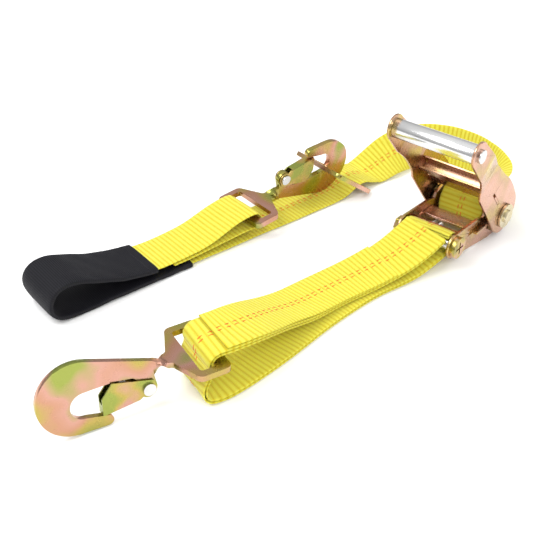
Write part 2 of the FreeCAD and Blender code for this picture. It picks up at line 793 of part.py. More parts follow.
def on_line(x, z):
    """Route point of the main webbing between the fold and the ring, where it runs straight in plan."""
    y = FOLD_Y + (x - FOLD_X) * math.tan(math.radians(REAR_AZIMUTH))
    return (x, y, z, REAR_AZIMUTH + 90, 0.0)


rear_wrap = wrap(REAR_BAR, REAR_AZIMUTH, REAR_WRAP, REAR_AZIMUTH + 90, start=-90)
lap_strand = [on_line(-62, 9.4), on_line(-40, 9.9), on_line(-16, 11), on_line(14, 12.4)]
upper_strand = [on_line(10, 25), on_line(-20, 16), on_line(-42, 13.6), on_line(-62, 12.8)]
fold_turn = [
    on_line(
        FOLD_X - FOLD_RADIUS * math.cos(math.radians(angle)),
        FOLD_MIDDLE + FOLD_RADIUS * math.sin(math.radians(angle)),
    )
    for angle in range(90, -91, -30)
]
ring_rear = ring_place.multVec(Vector(RING_LENGTH - RING_BAR, 0, 0))
roll_top = size("roll_radius") + 0.3 + ply / 2
MAIN_ROUTE = [
    *lap_strand,
    *rear_wrap,
    *upper_strand,
    on_line(-82, 13.4),
    on_line(-110, 18),
    on_line(-145, 29.5),
    *fold_turn,
    on_line(-140, 3.5),
    on_line(-95, 3.3),
    on_line(-43, 3.0),
    on_line(0, 2.2),
    on_line(60, 1.8),
    on_line(125, 1.8),
    on_line(152, 2.1),
    on_line(167, 5.0),
    on_line(ring_rear.x - 3, ring_rear.z + 6.4),
    on_line(ring_rear.x + 5, ring_rear.z + 5.9),
    (213, 31.5, 5.6, 78, 4),
    (240, 22, 15.8, 68, 26),
    (268, 6, 24.8, 52, 58),
    (290, -20, 26.9, 27, 78),
    (298, -51, 26.8, -3, 82),
    (288, -82, 27.1, -35, 78),
    (264, -103, 31, -63, 58),
    (238, -111, 42, -85, 22),
    (mandrel.x + 14, mandrel.y, mandrel.z + roll_top - 0.8, -90, 0),
    (mandrel.x, mandrel.y, mandrel.z + roll_top, -90, 0),
]
wrap_start = len(lap_strand)
wrap_end = wrap_start + len(rear_wrap) - 1
seam_top = wrap_end + len(upper_strand) + 1
seam_low = seam_top + 5 + len(fold_turn)
behind_ring = seam_low + 8
roll_end = len(MAIN_ROUTE) - 1
node("main_webbing_lap", band("lap", MAIN_ROUTE, 0, wrap_start, 13, ply))
node("main_webbing_hook_loop", band("rear_loop", MAIN_ROUTE, wrap_start, wrap_end, 19, ply))
node("main_webbing_upper", band("main_upper", MAIN_ROUTE, wrap_end, seam_top, 25, ply))
node("main_webbing_fold", band("main_fold", MAIN_ROUTE, seam_top, seam_low, 61, ply))
node("main_webbing_lower", band("main_lower", MAIN_ROUTE, seam_low, behind_ring, 49, ply))
node("main_webbing_loop", band("main_loop", MAIN_ROUTE, behind_ring, roll_end, 61, ply))
sleeve_room = ply + 0.2
sleeve_thickness = sleeve_room + 2 * size("sleeve_wall")
node(
    "wear_sleeve",
    cut(
        "sleeve",
        band("sleeve_outside", MAIN_ROUTE, seam_top, seam_low, 61, sleeve_thickness, size("sleeve_width")),
        band("sleeve_inside", MAIN_ROUTE, seam_top, seam_low, 61, sleeve_room, size("webbing_width") + 1),
    ),
)

# ---------------------------------------------------------------- checks and files

for piece in nodes.values():
    piece.Placement = Placement(CENTRE_SHIFT, Rotation()) * piece.Placement
doc.recompute()
for piece in doc.Objects:
    if "Invalid" in piece.State or "Error" in piece.State:
        raise RuntimeError(f"{piece.Label} did not compute: {piece.State}")
os.makedirs("parts", exist_ok=True)
for label, piece in nodes.items():
    shape = piece.Shape
    if shape.isNull() or not shape.isValid() or not shape.Solids:
        raise RuntimeError(f"{label} has no valid solid")
    shape.exportStep(f"parts/{label}.step")
print(len(nodes), "sub-parts written")
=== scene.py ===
"""Looks of the ratchet tie down: woven webbing, black wear sleeve, zinc-plated metal, studio light."""

import json
import math

import bpy
import numpy as np
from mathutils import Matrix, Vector


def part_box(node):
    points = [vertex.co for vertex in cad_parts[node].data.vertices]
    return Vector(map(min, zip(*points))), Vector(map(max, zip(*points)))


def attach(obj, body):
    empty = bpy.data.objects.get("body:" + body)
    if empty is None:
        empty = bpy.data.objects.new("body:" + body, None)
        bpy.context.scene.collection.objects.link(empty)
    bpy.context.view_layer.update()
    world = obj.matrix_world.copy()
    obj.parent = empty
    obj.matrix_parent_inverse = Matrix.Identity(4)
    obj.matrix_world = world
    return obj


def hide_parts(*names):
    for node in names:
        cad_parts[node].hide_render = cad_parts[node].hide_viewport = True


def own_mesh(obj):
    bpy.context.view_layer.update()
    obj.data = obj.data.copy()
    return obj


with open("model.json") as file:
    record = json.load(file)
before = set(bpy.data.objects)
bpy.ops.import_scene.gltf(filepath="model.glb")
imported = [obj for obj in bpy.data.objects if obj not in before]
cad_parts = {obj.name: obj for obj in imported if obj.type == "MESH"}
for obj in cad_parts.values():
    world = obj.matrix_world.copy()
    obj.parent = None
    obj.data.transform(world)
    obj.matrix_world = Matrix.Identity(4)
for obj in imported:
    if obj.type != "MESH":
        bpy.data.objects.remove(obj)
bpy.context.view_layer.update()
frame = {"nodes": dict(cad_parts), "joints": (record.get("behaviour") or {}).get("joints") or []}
MM = 0.001
SHIFT = np.array((-1.9, 10.2, 0.0))


# ---------------------------------------------------------------- material helpers

class Nodes:
    """A Principled material and short ways to add nodes to it."""

    def __init__(self, name):
        self.material = bpy.data.materials.new(name)
        self.material.use_nodes = True
        self.tree = self.material.node_tree
        self.shader = self.tree.nodes["Principled BSDF"]

    def add(self, kind, **settings):
        node = self.tree.nodes.new(kind)
        for key, value in settings.items():
            if key.startswith("in_"):
                node.inputs[key[3:].replace("_", " ")].default_value = value
            else:
                setattr(node, key, value)
        return node

    def link(self, source, target):
        self.tree.links.new(source, target)

    def noise(self, place, scale, detail=3.0, roughness=0.55):
        node = self.add("ShaderNodeTexNoise", in_Scale=scale, in_Detail=detail, in_Roughness=roughness)
        self.link(place, node.inputs["Vector"])
        return node.outputs["Fac"]

    def ramp(self, value, *stops):
        node = self.add("ShaderNodeValToRGB")
        elements = node.color_ramp.elements
        while len(elements) < len(stops):
            elements.new(0.5)
        for element, (position, colour) in zip(elements, stops):
            element.position = position
            element.color = (*colour, 1.0)
        self.link(value, node.inputs["Fac"])
        return node.outputs["Color"]

    def span(self, value, low, high):
        node = self.add("ShaderNodeMapRange")
        node.inputs["To Min"].default_value = low
        node.inputs["To Max"].default_value = high
        self.link(value, node.inputs["Value"])
        return node.outputs["Result"]

    def maths(self, operation, first, second):
        node = self.add("ShaderNodeMath", operation=operation)
        for index, value in ((0, first), (1, second)):
            if isinstance(value, (int, float)):
                node.inputs[index].default_value = value
            else:
                self.link(value, node.inputs[index])
        return node.outputs[0]

    def bump(self, height, strength, distance):
        node = self.add("ShaderNodeBump", in_Strength=strength, in_Distance=distance)
        self.link(height, node.inputs["Height"])
        return node.outputs["Normal"]

    def place(self, name="Object"):
        return self.add("ShaderNodeTexCoord").outputs[name]

    def stretched(self, place, scale):
        node = self.add("ShaderNodeMapping")
        node.inputs["Scale"].default_value = scale
        self.link(place, node.inputs["Vector"])
        return node.outputs["Vector"]

    def wave(self, place, scale, direction="X", distortion=0.0):
        node = self.add(
            "ShaderNodeTexWave", bands_direction=direction, in_Scale=scale, in_Distortion=distortion
        )
        self.link(place, node.inputs["Vector"])
        return node.outputs["Fac"]

    def set(self, **values):
        for key, value in values.items():
            self.shader.inputs[key.replace("_", " ")].default_value = value

    def to(self, name, source):
        self.link(source, self.shader.inputs[name])


def zinc_material(name, stops, roughness, patch_scale=30.0, grain=0.1):
    """Plated steel: slow drift of the passivation colour, fine grain, smudges in the gloss."""
    m = Nodes(name)
    place = m.place()
    patches = m.noise(place, patch_scale, 1.5)
    m.to("Base Color", m.ramp(patches, *stops))
    m.to("Roughness", m.span(m.noise(place, 160.0, 4.0), roughness[0], roughness[1]))
    m.to("Normal", m.bump(m.noise(place, 900.0, 3.0), grain, 0.0002))
    m.set(Metallic=1.0)
    return m.material


RIB_PITCH = 4.9


def webbing_material(name, groove_shade_colour, crown, rib_pitch=RIB_PITCH, sheen=0.15, thread=0.35, gloss=0.35):
    """Woven cloth: the colour is darkened between the crosswise ribs as painted shade in the grooves, fine
    threads run along them.
    """
    m = Nodes(name)
    place = m.place("UV")
    parts = m.add("ShaderNodeSeparateXYZ")
    m.link(place, parts.inputs["Vector"])
    phase = m.maths("MULTIPLY", parts.outputs["X"], math.pi / (rib_pitch * MM))
    rib_shade_mask = m.maths("ABSOLUTE", m.maths("SINE", phase, 0.0), 0.0)
    warp = m.wave(m.stretched(place, (40.0, 900.0, 1.0)), 1.0, "Y", 2.0)
    patches = m.noise(place, 90.0, 4.0)
    weave = m.maths("ADD", m.maths("MULTIPLY", warp, 0.2), m.maths("MULTIPLY", patches, 0.2))
    shade = m.maths("ADD", m.maths("MULTIPLY", rib_shade_mask, 0.65), weave)
    # painted shade: the colour runs from the darker groove colour between the ribs to the crown colour on them
    m.to("Base Color", m.ramp(shade, (0.15, groove_shade_colour), (0.85, crown)))
    m.to("Roughness", m.span(patches, 0.5, 0.72))
    m.to("Normal", m.bump(warp, thread, 0.0004))
    m.set(Sheen_Weight=sheen, Sheen_Roughness=0.4, Specular_IOR_Level=gloss)
    return m.material


# Each cloth's first colour is painted shade for the grooves between its ribs; the second is its colour on the
# rib crowns.
webbing_yellow = webbing_material("webbing_yellow", (0.56, 0.42, 0.0), (0.72, 0.685, 0.07))
tracer_red = webbing_material("tracer_red", (0.50, 0.07, 0.01), (0.80, 0.17, 0.015), 0.9)
sleeve_black = webbing_material(
    "sleeve_black", (0.001, 0.001, 0.0015), (0.011, 0.011, 0.015), 1.9, 0.0, 0.15, 0.2
)
thread_black = webbing_material("thread_black", (0.003, 0.003, 0.004), (0.02, 0.02, 0.025), 0.8, 0.0)

TAN, PINK, ROSE = (0.52, 0.33, 0.19), (0.62, 0.36, 0.25), (0.66, 0.40, 0.33)
GREEN, GOLD, OLIVE = (0.42, 0.46, 0.11), (0.60, 0.46, 0.13), (0.34, 0.30, 0.08)
LIME, BRASS, CORAL, BLUSH = (0.31, 0.35, 0.08), (0.47, 0.36, 0.10), (0.53, 0.28, 0.18), (0.57, 0.31, 0.24)
zinc_hook = zinc_material(
    "zinc_hook", ((0.34, LIME), (0.44, BRASS), (0.52, CORAL), (0.60, BLUSH), (0.70, LIME)), (0.2, 0.32), 21.0
)
zinc_plate = zinc_material(
    "zinc_plate", ((0.32, ROSE), (0.46, PINK), (0.56, TAN), (0.66, GOLD), (0.74, GREEN)), (0.2, 0.34), 24.0
)
zinc_keeper = zinc_material("zinc_keeper", ((0.44, LIME), (0.56, BRASS), (0.68, BLUSH)), (0.22, 0.34), 42.0)
zinc_bolt = zinc_material("zinc_bolt", ((0.36, OLIVE), (0.5, GOLD), (0.64, ROSE)), (0.16, 0.3), 90.0)
zinc_bright = zinc_material(
    "zinc_bright", ((0.3, (0.56, 0.56, 0.56)), (0.7, (0.76, 0.76, 0.75))), (0.18, 0.3)
)
grip_metal = zinc_material("grip_metal", ((0.3, (0.74, 0.74, 0.74)), (0.7, (0.86, 0.86, 0.86))), (0.16, 0.26))
steel_dark = zinc_material("steel_dark", ((0.3, (0.10, 0.09, 0.06)), (0.7, (0.30, 0.25, 0.14))), (0.28, 0.45))
cap_cream = zinc_material("cap_cream", ((0.3, (0.50, 0.42, 0.22)), (0.7, (0.78, 0.70, 0.50))), (0.2, 0.35))

FRAME_PARTS = (
    "frame_side_right", "frame_side_left", "frame_crossbar", "lock_pawl", "handle_side_right",
    "handle_side_left", "drive_pawl", "slider_ring", "handle_crossrod",
)
DARK_PARTS = ("ratchet_wheel_right", "ratchet_wheel_left", "mandrel_half_upper", "mandrel_half_lower")
BRIGHT_PARTS = ("grip_rod", "front_keeper_rivet", "rear_keeper_rivet", "webbing_bolt_spacer")
BOLT_PARTS = ("webbing_bolt", "webbing_bolt_nut", "mandrel_cap_left")
FINISHES = {
    "front_hook": zinc_hook,
    "rear_hook": zinc_hook,
    "front_keeper": zinc_keeper,
    "rear_keeper": zinc_keeper,
    "handle_grip": grip_metal,
    "mandrel_cap_right": cap_cream,
    "mandrel_webbing_core": webbing_yellow,
    **{name: zinc_plate for name in FRAME_PARTS},
    **{name: zinc_bolt for name in BOLT_PARTS},
    **{name: steel_dark for name in DARK_PARTS},
    **{name: zinc_bright for name in BRIGHT_PARTS},
}


EDGE_BREAK, WELD_GAP, SHARP_ANGLE = 0.45 * MM, 0.01 * MM, math.radians(35)


def dress(name, material):
    """Gives a CAD node its finish and breaks its sharp edges."""
    node = frame["nodes"][name]
    if not node.material_slots:
        node.data.materials.append(material)
    for slot in node.material_slots:
        slot.material = material
    weld = node.modifiers.new("weld", "WELD")
    weld.merge_threshold = WELD_GAP
    bevel = node.modifiers.new("edges", "BEVEL")
    bevel.width = EDGE_BREAK
    bevel.segments = 2
    bevel.limit_method = "ANGLE"
    bevel.angle_limit = SHARP_ANGLE
    bevel.harden_normals = True


for part, finish in FINISHES.items():
    dress(part, finish)


# ---------------------------------------------------------------- webbing routes, mm, as in the CAD model

MANDREL = np.array((202.0, -112.0, 25.0))
BOLT = MANDREL - np.array((84.0, 0.0, 0.0))
FRONT_BAR, FRONT_AZIMUTH = np.array((-160.0, -71.0, 38.0)), 160.0
REAR_BAR = np.array((37.0, 66.0, 21.0))
FOLD_X, FOLD_Y = -176.0, 109.0
REAR_AZIMUTH = math.degrees(math.atan2(REAR_BAR[1] - FOLD_Y, REAR_BAR[0] - FOLD_X))
PLY = 2.8
WIDTH = 50.0
BAR_WRAP, BOLT_WRAP = 6.6, 7.6
LEAD = 5.0


def wrap(centre, azimuth, radius, width_azimuth, start=90):
    """Route points half way round a bar, with a straight lead at both ends."""
    outward = np.array((math.cos(math.radians(azimuth)), math.sin(math.radians(azimuth)), 0.0))
    upward = np.array((0.0, 0.0, 1.0))
    turn = -22.5 if start > 0 else 22.5
    angles = [math.radians(start + turn * step) for step in range(9)]
    points = [centre + outward * (radius * math.cos(a)) + upward * (radius * math.sin(a)) for a in angles]
    points = [points[0] - outward * LEAD, *points, points[-1] - outward * LEAD]
    return [(*at, width_azimuth, 0.0) for at in points]


def on_line(x, z):
    """Route point on the straight line between the fold and the rear hook's bar."""
    y = FOLD_Y + (x - FOLD_X) * math.tan(math.radians(REAR_AZIMUTH))
    return (x, y, z, REAR_AZIMUTH + 90, 0.0)


hook_wrap = wrap(FRONT_BAR, FRONT_AZIMUTH, BAR_WRAP + PLY, FRONT_AZIMUTH + 90)[:7]
bolt_wrap = wrap(BOLT, 0, BOLT_WRAP + PLY, 270, start=-90)
fixed_upper = [
    (80, -104.5, 22.5, 266, 0),
    (40, -90, 11.0, 259, 0),
    (-10, -78, 9.8, 262, 0),
    (-45, -75.5, 14.5, 266, 0),
    (-85, -75, 27.5, 264, 0),
    (-130, -77.5, 44, 254, 0),
]
fixed_lower = [
    (-170, -67.6, 27, 250, 0),
    (-173.6, -67.3, 19.5, 250.5, 0),
    (-176, -68.5, 11.5, 251, 0),
    (-173.9, -70.9, 5.6, 251.5, 0),
    (-168.5, -73.5, 3.8, 252, 0),
    (-150, -78.5, 3.5, 256, 0),
    (-122, -81.5, 3.3, 261, 0),
    (-60, -83, 3.2, 266, 0),
    (-10, -85, 3.2, 262, 0),
    (40, -93, 3.2, 260, 0),
    (80, -105, 7, 266, 0),
]
FIXED_ROUTE = [bolt_wrap[-1], *fixed_upper, *hook_wrap, *fixed_lower, *bolt_wrap]

rear_wrap = wrap(REAR_BAR, REAR_AZIMUTH, BAR_WRAP + PLY / 2, REAR_AZIMUTH + 90, start=-90)
lap = [on_line(-62, 9.4), on_line(-40, 9.9), on_line(-16, 11), on_line(14, 12.4)]
main_upper = [on_line(10, 25), on_line(-20, 16), on_line(-42, 13.6), on_line(-62, 12.8)]
FOLD_RADIUS, FOLD_Z = 17.1, 20.8
fold_turn = [
    on_line(FOLD_X - FOLD_RADIUS * math.cos(math.radians(a)), FOLD_Z + FOLD_RADIUS * math.sin(math.radians(a)))
    for a in range(90, -91, -30)
]
RING_REAR = (187.76, 5.18)
MAIN_ROUTE = [
    *lap,
    *rear_wrap,
    *main_upper,
    on_line(-82, 13.4),
    on_line(-110, 18),
    on_line(-145, 29.5),
    *fold_turn,
    on_line(-140, 3.5),
    on_line(-95, 3.3),
    on_line(-43, 3.0),
    on_line(0, 2.2),
    on_line(60, 1.8),
    on_line(125, 1.8),
    on_line(152, 2.1),
    on_line(167, 5.0),
    on_line(RING_REAR[0] - 3, RING_REAR[1] + 6.4),
    on_line(RING_REAR[0] + 5, RING_REAR[1] + 5.9),
    (213, 31.5, 5.6, 78, 4),
    (240, 22, 15.8, 68, 26),
    (268, 6, 24.8, 52, 58),
    (290, -20, 26.9, 27, 78),
    (298, -51, 26.8, -3, 82),
    (288, -82, 27.1, -35, 78),
    (264, -103, 31, -63, 58),
    (238, -111, 42, -85, 22),
    (MANDREL[0] + 14, MANDREL[1], MANDREL[2] + 24.4, -90, 0),
    (MANDREL[0], MANDREL[1], MANDREL[2] + 25.2, -90, 0),
]
SEAM_TOP = len(lap) + len(rear_wrap) + len(main_upper)
SEAM_LOW = SEAM_TOP + 5 + len(fold_turn)
BEHIND_RING = SEAM_LOW + 8


# ---------------------------------------------------------------- webbing meshes

def natural_spline(knots, values, at):
    """Natural cubic spline through the values, sampled at the given places."""
    count = len(knots)
    gap = np.diff(knots)
    matrix = np.eye(count)
    right = np.zeros((count, values.shape[1]))
    for k in range(1, count - 1):
        matrix[k, k - 1 : k + 2] = gap[k - 1], 2 * (gap[k - 1] + gap[k]), gap[k]
        right[k] = 6 * ((values[k + 1] - values[k]) / gap[k] - (values[k] - values[k - 1]) / gap[k - 1])
    bend = np.linalg.solve(matrix, right)
    span = np.clip(np.searchsorted(knots, at, side="right") - 1, 0, count - 2)
    width = gap[span][:, None]
    after = (at - knots[span])[:, None]
    before = width - after
    return (
        (bend[span] * before**3 + bend[span + 1] * after**3) / (6 * width)
        + (values[span] / width - bend[span] * width / 6) * before
        + (values[span + 1] / width - bend[span + 1] * width / 6) * after
    )


class Strand:
    """Stations of a webbing along its route: place, along, across, lift and running length, in mm."""

    def __init__(self, places, across):
        self.places = places
        self.along = np.gradient(places, axis=0)
        self.along /= np.linalg.norm(self.along, axis=1)[:, None]
        self.across = across - self.along * np.sum(across * self.along, axis=1)[:, None]
        self.across /= np.linalg.norm(self.across, axis=1)[:, None]
        self.lift = np.cross(self.along, self.across)
        steps = np.linalg.norm(np.diff(places, axis=0), axis=1)
        self.run = np.concatenate(([0.0], np.cumsum(steps)))

    def part(self, first, last):
        chosen = (self.run >= first) & (self.run <= last)
        return Strand(self.places[chosen], self.across[chosen])


def strand(route, first, last, step=0.45):
    """Stations between two points of a route; each point is x, y, z, azimuth and rise of the width."""
    points = np.array(route, float)
    gaps = np.linalg.norm(np.diff(points[:, :3], axis=0), axis=1)
    knots = np.concatenate(([0.0], np.cumsum(gaps)))
    count = int((knots[last] - knots[first]) / step) + 1
    at = np.linspace(knots[first], knots[last], count)
    places = natural_spline(knots, points[:, :3], at) + SHIFT
    azimuth = np.radians(np.interp(at, knots, points[:, 3]))
    rise = np.radians(np.interp(at, knots, points[:, 4]))
    across = np.stack((np.cos(azimuth) * np.cos(rise), np.sin(azimuth) * np.cos(rise), np.sin(rise)), axis=1)
    return Strand(places, across)


def tube_mesh(name, rings, uv, material, hollow=False):
    """Mesh of rings of points joined one to the next; rings is stations x points x 3, in mm."""
    stations, count, _ = rings.shape
    index = np.arange(stations * count).reshape(stations, count)
    beside = np.roll(index, -1, axis=1)
    following = np.roll(index, -1, axis=0), np.roll(beside, -1, axis=0)
    last = stations if hollow else stations - 1
    quads = np.stack((index, beside, following[1], following[0]), axis=-1)[:last]
    faces = quads.reshape(-1, 4).tolist()
    if not hollow:
        faces.append(index[0][::-1].tolist())
        faces.append(index[-1].tolist())
    mesh = bpy.data.meshes.new(name)
    mesh.from_pydata((rings.reshape(-1, 3) * MM).tolist(), [], faces)
    layer = mesh.uv_layers.new(name="UVMap")
    loops = np.zeros(len(mesh.loops), np.int32)
    mesh.loops.foreach_get("vertex_index", loops)
    layer.data.foreach_set("uv", uv.reshape(-1, 2)[loops].ravel())
    mesh.polygons.foreach_set("use_smooth", [True] * len(mesh.polygons))
    mesh.materials.append(material)
    mesh.update()
    obj = bpy.data.objects.new(name, mesh)
    bpy.context.scene.collection.objects.link(obj)
    return obj


RIB_HEIGHT, RIB_ROUNDNESS = 0.5, 0.7
SELVEDGE, RIM = 2.2, 0.9


def swell_at(run, across):
    """Slow rise and fall of the webbing's face, which its tracers follow."""
    return 0.18 * np.sin(run / 21.0 + across / 9.0)


def webbing_mesh(name, line, offset=0.0, thickness=2.3, width=WIDTH):
    """Woven band: crosswise ribs, thicker selvedges, edges that wander a little."""
    half = width / 2
    inner = half - SELVEDGE
    face = np.linspace(-inner + 2.5, inner - 2.5, 9)
    share = np.array((-half, -half + RIM, -inner, *face, inner, half - RIM, half))[None, :]
    run = line.run[:, None]
    wander = 0.35 * np.sin(run / 37.0 + 1.0) + 0.2 * np.sin(run / 13.0)
    swell = swell_at(run, share)
    flat = np.abs(share) > inner - 0.1
    phase = math.pi * (run + np.where(flat, RIB_PITCH / 2, 0.0)) / RIB_PITCH
    height = RIB_HEIGHT * np.abs(np.sin(phase)) ** RIB_ROUNDNESS * np.where(flat, 0.6, 1.0)
    edge = np.abs(share) >= half - 0.05
    rim = np.where(np.abs(share) > half - RIM - 0.1, 0.72, 1.0)
    base = np.where(edge, 0.25, rim) * (thickness / 2 - RIB_HEIGHT)
    top = offset + swell + base + np.where(edge, 0.0, height)
    low = offset + swell - base - np.where(edge, 0.0, np.roll(height, 2, axis=0))
    a = share * np.ones_like(run) + wander * (share / half)
    a = np.concatenate((a, a[:, ::-1]), axis=1)
    b = np.concatenate((top, low[:, ::-1]), axis=1)
    rings = (
        line.places[:, None, :]
        + line.across[:, None, :] * a[:, :, None]
        + line.lift[:, None, :] * b[:, :, None]
    )
    uv = np.stack((run * np.ones_like(a), a), axis=-1) * MM
    return tube_mesh(name, rings, uv, webbing_yellow)


DASH, DASH_PITCH, DASH_ROW = 4.2, 8.3, 2.0


TRACER_ROWS = ((-DASH_ROW, 0.0), (DASH_ROW, 0.12))
DASH_STATIONS, DASH_CORNERS, DASH_ROOT = 6, 4, -0.3


def at_line(values, at, line):
    return np.stack([np.interp(at, line.run, values[:, k]) for k in range(3)], axis=1)


def tracer_mesh(
    name, line, heights, material=tracer_red, rows=TRACER_ROWS,
    dash=DASH, pitch=DASH_PITCH, half_width=0.5, proud=0.3,
):
    """Woven-in dashes along the webbing: short raised threads in staggered rows on the given faces."""
    verts, faces, uv = [], [], []
    end = line.run[-1]
    for across, stagger in rows:
        for begin in np.arange(1.0 + stagger * pitch, end - dash - 0.5, pitch):
            at = np.linspace(begin, begin + dash, DASH_STATIONS)
            place = at_line(line.places, at, line)
            side = at_line(line.across, at, line)
            lift = at_line(line.lift, at, line)
            swell = swell_at(at, across)
            for height in heights:
                outward = 1.0 if height > 0 else -1.0
                start = len(verts)
                for k in range(DASH_STATIONS):
                    crown = proud * math.sin(math.pi * (k + 0.35) / (DASH_STATIONS - 0.3))
                    for a, b in (
                        (-half_width, DASH_ROOT),
                        (-half_width * 0.6, crown),
                        (half_width * 0.6, crown),
                        (half_width, DASH_ROOT),
                    ):
                        depth = height + swell[k] + outward * b
                        verts.append(place[k] + side[k] * (across + a) + lift[k] * depth)
                        uv.append((at[k] * MM, (across + a) * MM))
                for k in range(DASH_STATIONS - 1):
                    for j in range(DASH_CORNERS):
                        here = start + DASH_CORNERS * k + j
                        there = start + DASH_CORNERS * k + (j + 1) % DASH_CORNERS
                        quad = (here, there, there + DASH_CORNERS, here + DASH_CORNERS)
                        faces.append(quad if outward > 0 else quad[::-1])
                final = len(verts)
                first_cap = tuple(range(start, start + DASH_CORNERS))[::-1]
                last_cap = tuple(range(final - DASH_CORNERS, final))
                faces.extend(cap if outward > 0 else cap[::-1] for cap in (first_cap, last_cap))
    mesh = bpy.data.meshes.new(name)
    mesh.from_pydata((np.array(verts) * MM).tolist(), [], faces)
    layer = mesh.uv_layers.new(name="UVMap")
    loops = np.zeros(len(mesh.loops), np.int32)
    mesh.loops.foreach_get("vertex_index", loops)
    layer.data.foreach_set("uv", np.array(uv)[loops].ravel())
    mesh.materials.append(material)
    obj = bpy.data.objects.new(name, mesh)
    bpy.context.scene.collection.objects.link(obj)
    return obj


def laid(piece, tracers, nodes, body="frame"):
    """Hangs a band and its tracers on a body and hides the CAD nodes it stands for."""
    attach(piece, body)
    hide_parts(*nodes)
    for tracer in tracers:
        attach(tracer, body)


FIXED_NODES = (
    "fixed_webbing_upper", "fixed_webbing_hook_loop", "fixed_webbing_lower", "fixed_webbing_bolt_loop",
)
fixed_line = strand(FIXED_ROUTE, 0, len(FIXED_ROUTE) - 1)
FACE = 1.15
outer_ply = webbing_mesh("fixed_webbing_outer_ply", fixed_line, PLY / 2)
outer_tracers = tracer_mesh("fixed_webbing_outer_tracers", fixed_line, (PLY / 2 + FACE,))
laid(outer_ply, [outer_tracers], FIXED_NODES)
inner_ply = webbing_mesh("fixed_webbing_inner_ply", fixed_line, -PLY / 2)
laid(inner_ply, [], FIXED_NODES)

# A third ply is sewn on top, from a hand's width behind the bolt to just before the hook's bar.
LAP_START, LAP_THICKNESS = 22.0, 2.1
lap_line = strand(FIXED_ROUTE, 1, len(fixed_upper) + 1)
lap_line = lap_line.part(LAP_START, lap_line.run[-1])
LAP_OFFSET = PLY + FACE
top_ply = webbing_mesh("fixed_webbing_top_ply", lap_line, LAP_OFFSET, LAP_THICKNESS)
top_tracers = tracer_mesh("fixed_webbing_top_tracers", lap_line, (LAP_OFFSET + FACE - 0.1,))
laid(top_ply, [top_tracers], FIXED_NODES[:1])

main_line = strand(MAIN_ROUTE, 0, BEHIND_RING)
main_piece = webbing_mesh("main_webbing", main_line)
main_tracers = tracer_mesh("main_webbing_tracers", main_line, (FACE,))
laid(
    main_piece, [main_tracers],
    (
        "main_webbing_lap", "main_webbing_hook_loop", "main_webbing_upper",
        "main_webbing_fold", "main_webbing_lower",
    ),
)

loop_line = strand(MAIN_ROUTE, BEHIND_RING, len(MAIN_ROUTE) - 1)
loop_piece = webbing_mesh("main_webbing_bend", loop_line)
loop_tracers = tracer_mesh("main_webbing_bend_tracers", loop_line, (FACE,))
laid(loop_piece, [loop_tracers], ("main_webbing_loop",))
for soft in (loop_piece, loop_tracers):
    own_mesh(soft)


# ---------------------------------------------------------------- black wear sleeve

SLEEVE_WIDTH, SLEEVE_THICK, HEM = 55.6, 5.4, 10.0
SLEEVE_WALL = 0.7
SLEEVE_RIB, SLEEVE_RIB_HEIGHT = 1.9, 0.3
SLEEVE_SIDES, SLEEVE_STEP = 48, 0.475
HEM_HEIGHT, CREASE, PUCKER = 0.35, 0.30, 0.14
sleeve_line = strand(MAIN_ROUTE, SEAM_TOP, SEAM_LOW, SLEEVE_STEP)


def sleeve_wall(line, depth, rib):
    """One face of the woven tube: flat oval, hemmed mouths, shallow creases; depth is below the outside."""
    angle = np.linspace(0, 2 * math.pi, SLEEVE_SIDES, endpoint=False)
    a = np.sign(np.cos(angle)) * np.abs(np.cos(angle)) ** 0.5 * (SLEEVE_WIDTH / 2 - depth)
    b = np.sign(np.sin(angle)) * np.abs(np.sin(angle)) ** 0.4 * (SLEEVE_THICK / 2 - depth)
    run = line.run[:, None]
    near_end = np.minimum(run, line.run[-1] - run)
    hem = HEM_HEIGHT / (1.0 + np.exp((near_end - HEM) * 3.0)) if rib else 0.0
    crease = CREASE * np.sin(run / 9.0 + a[None, :] / 11.0) * np.sin(run / 23.0)
    pucker = PUCKER * np.sin(run / 4.2 - a[None, :] / 6.0)
    ribs = rib * np.abs(np.sin(math.pi * run / SLEEVE_RIB))
    height = b[None, :] + np.sign(b)[None, :] * (ribs + hem) + crease + pucker
    spread = a[None, :] * (1.0 + 0.006 * np.sin(run / 15.0))
    return (
        line.places[:, None, :]
        + line.across[:, None, :] * spread[:, :, None]
        + line.lift[:, None, :] * height[:, :, None]
    )


outside = sleeve_wall(sleeve_line, 0.0, SLEEVE_RIB_HEIGHT)
inside = sleeve_wall(sleeve_line, SLEEVE_WALL, 0.0)[::-1]
round_tube = np.linspace(0, 2 * (SLEEVE_WIDTH + SLEEVE_THICK), outside.shape[1])
lengths = np.concatenate((sleeve_line.run, sleeve_line.run[::-1]))
sleeve_uv = np.stack(np.broadcast_arrays(lengths[:, None], round_tube[None, :]), axis=-1) * MM
sleeve_rings = np.concatenate((outside, inside))
sleeve = tube_mesh("wear_sleeve_cloth", sleeve_rings, sleeve_uv, sleeve_black, hollow=True)
stitches = []
for name, first, last in (
    ("sleeve_stitch_upper", HEM - 3.0, HEM + 1.0),
    ("sleeve_stitch_lower", sleeve_line.run[-1] - HEM - 1.0, sleeve_line.run[-1] - HEM + 3.0),
):
    rows = tuple((across, 0.0) for across in np.arange(-23.0, 23.1, 2.0))
    heights = (SLEEVE_THICK / 2 + 0.25, -SLEEVE_THICK / 2 - 0.25)
    stitches.append(
        tracer_mesh(name, sleeve_line.part(first, last), heights, thread_black, rows, 1.4, 5.0, 0.6, 0.3)
    )
laid(
    sleeve, stitches, ("wear_sleeve",),
)


# ---------------------------------------------------------------- webbing wound on the mandrel

